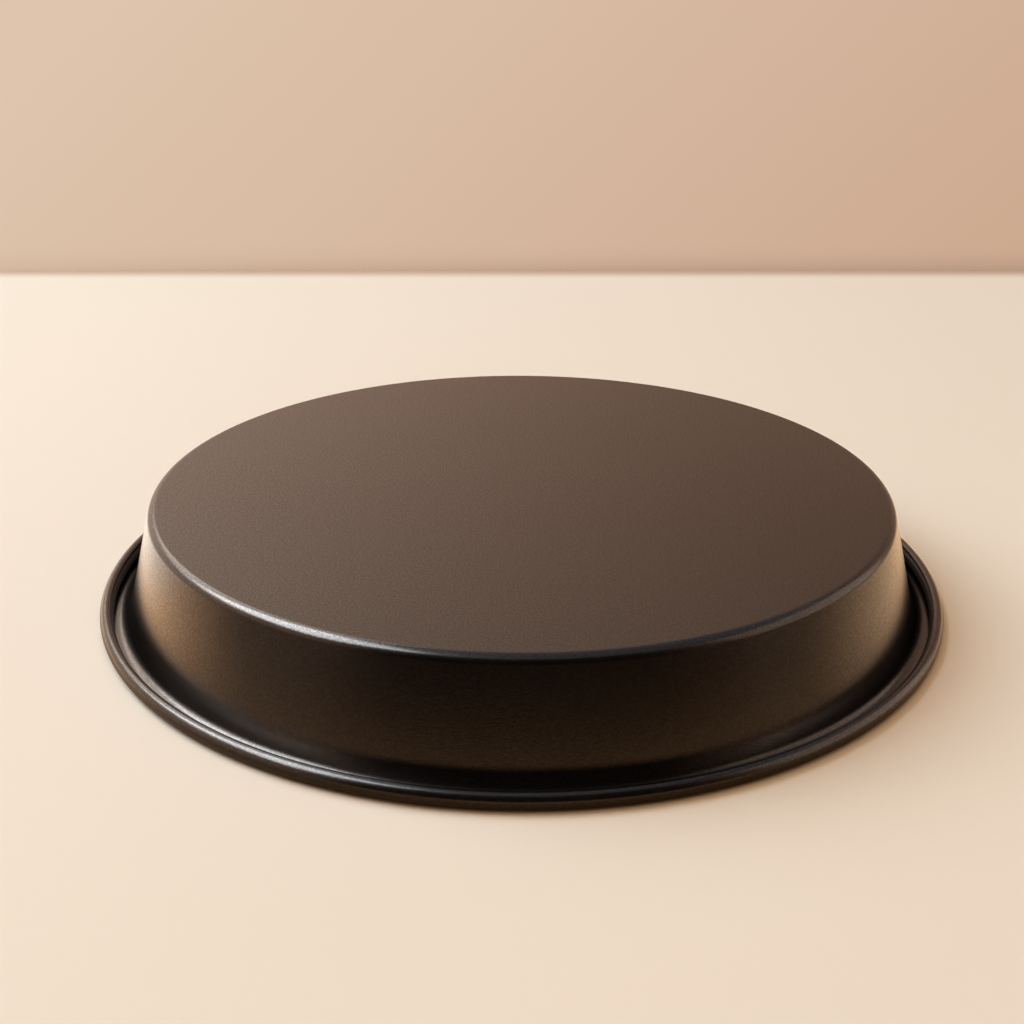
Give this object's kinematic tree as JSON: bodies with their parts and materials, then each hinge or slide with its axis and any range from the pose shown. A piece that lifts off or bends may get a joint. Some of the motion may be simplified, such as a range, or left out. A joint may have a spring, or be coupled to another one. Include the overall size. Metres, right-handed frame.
{
  "type": "round baking dish",
  "caption": "Shallow round non-stick baking dish of drawn steel sheet, with a flat base, a tapered wall and an outward rolled rim stiffened by a wire hoop, shown upside down on its rim.",
  "frame": {"origin": "on the dish's axis, in the plane that the rolled rim rests on", "axes": "+Z along the axis from the rim to the outside of the base, so the dish stands upside down as in the picture; X and Y are free because the dish is round"},
  "size_m": [0.28, 0.28, 0.036],
  "materials": {
    "non_stick_coating": "dark brown-black sprayed non-stick coating with a fine grain, satin",
    "black_annealed_wire": "dark scale of annealed steel wire, dull"
  },
  "bodies": {
    "root": {"pan_shell": "non_stick_coating", "rim_wire": "black_annealed_wire"}
  },
  "joints": []
}
